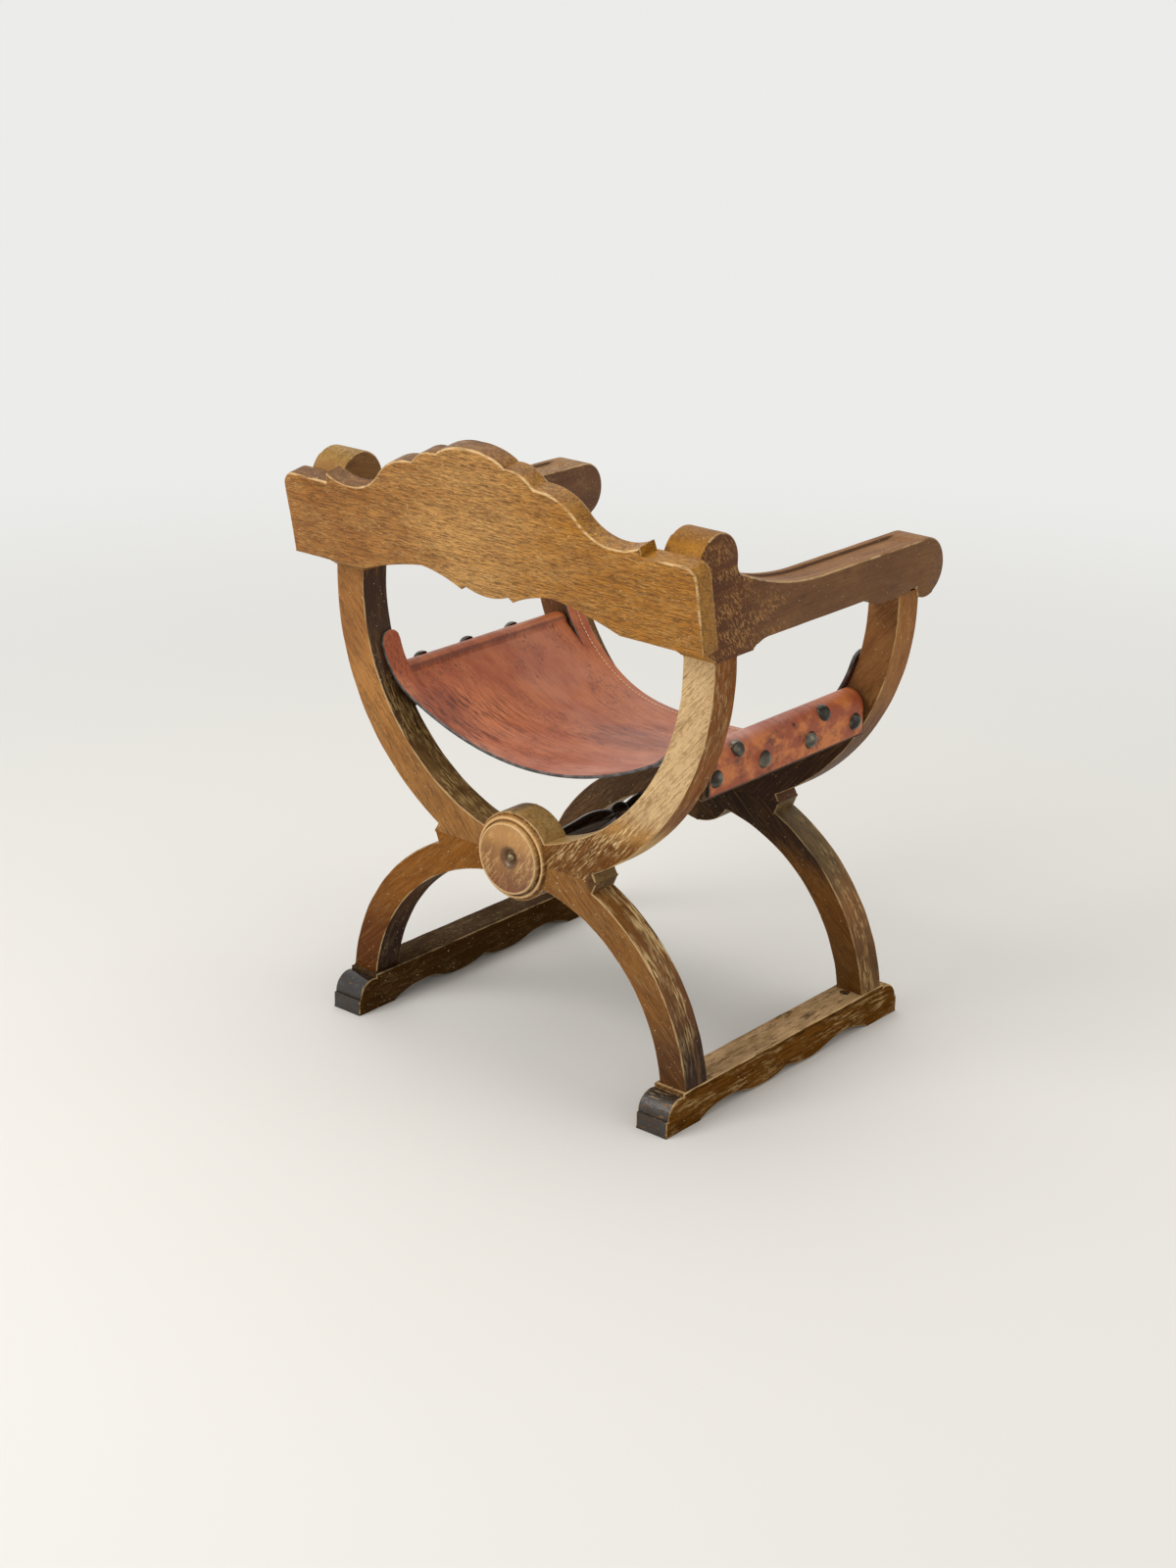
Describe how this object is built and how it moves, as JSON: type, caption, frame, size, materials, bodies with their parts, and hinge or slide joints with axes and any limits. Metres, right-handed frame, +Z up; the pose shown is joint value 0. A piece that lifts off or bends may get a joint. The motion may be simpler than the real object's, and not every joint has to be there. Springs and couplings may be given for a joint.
{
  "type": "dante chair",
  "caption": "Crossed-frame oak armchair with curved bows and legs, scrolled arms, raked scalloped back board, turned stretcher, floor runners and a hanging leather seat.",
  "frame": {"origin": "middle of the whole chair's plan outline, on the floor", "axes": "+Z up; the sitter faces -Y, so the back board is on the +Y side; +X is the sitter's left"},
  "size_m": [0.65, 0.5547, 0.8186],
  "materials": {
    "oak": "waxed, worn, pale pores",
    "dark_oak": "black-brown stain, worn",
    "dowel_wood": "plain",
    "saddle_leather": "waxed, mottled, satin",
    "dark_iron": "patinated, domed",
    "bright_iron": "worn bright"
  },
  "bodies": {
    "root": {"rear_bow_left": "oak", "rear_bow_right": "oak", "rear_leg_left": "oak", "rear_leg_right": "oak", "front_bow_left": "oak", "front_bow_right": "oak", "front_leg_left": "oak", "front_leg_right": "oak", "rear_hub_dowels": "dowel_wood", "front_hub_dowels": "dowel_wood", "rear_rosette": "oak", "front_rosette": "oak", "rosette_nails": "bright_iron", "turned_stretcher": "dark_oak", "floor_runner_left": "oak", "floor_runner_right": "oak", "foot_screws": "dark_iron", "arm_left": "oak", "arm_right": "oak", "arm_dowels": "dowel_wood", "back_board": "oak", "back_board_dowels": "dowel_wood", "seat_rail_left": "oak", "seat_rail_right": "oak", "leather_seat": "saddle_leather", "front_hem_strip": "saddle_leather", "seat_nails_left": "dark_iron", "seat_nails_right": "dark_iron"}
  },
  "joints": []
}
